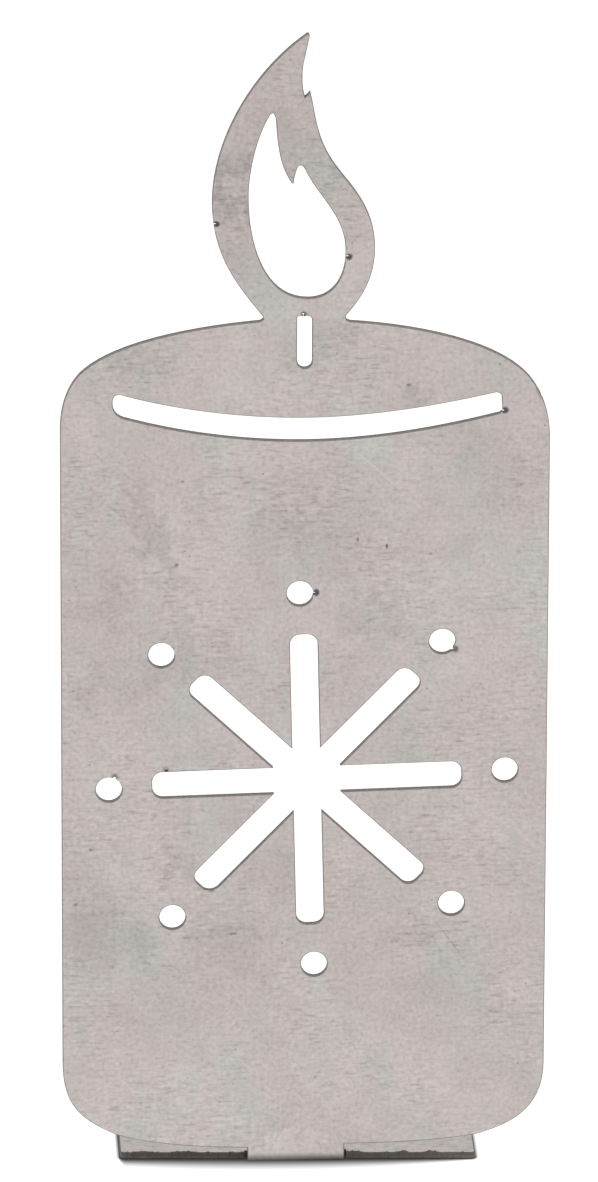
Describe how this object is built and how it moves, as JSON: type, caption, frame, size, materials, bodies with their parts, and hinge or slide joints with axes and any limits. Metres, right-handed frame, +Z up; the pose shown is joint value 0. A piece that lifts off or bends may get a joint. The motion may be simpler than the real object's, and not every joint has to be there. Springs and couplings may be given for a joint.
{
  "type": "candle silhouette",
  "caption": "Flat steel candle silhouette with an open flame, a curved slot and a star of cut-outs, standing on a foot folded back from the same sheet.",
  "frame": {"origin": "on the ground, in the middle of the part's footprint box", "axes": "+Z up, -Y out of the decorated face, +Y back along the foot, +X to the right of someone who looks at the decorated face"},
  "size_m": [0.0888, 0.06, 0.2184],
  "materials": {
    "bare_steel": "matt mill finish, with faint rolling lines, cloudy patches and dark laser-cut edges"
  },
  "bodies": {
    "root": {"flame": "bare_steel", "candle_body": "bare_steel", "bend_tab": "bare_steel", "foot_plate": "bare_steel"}
  },
  "joints": []
}
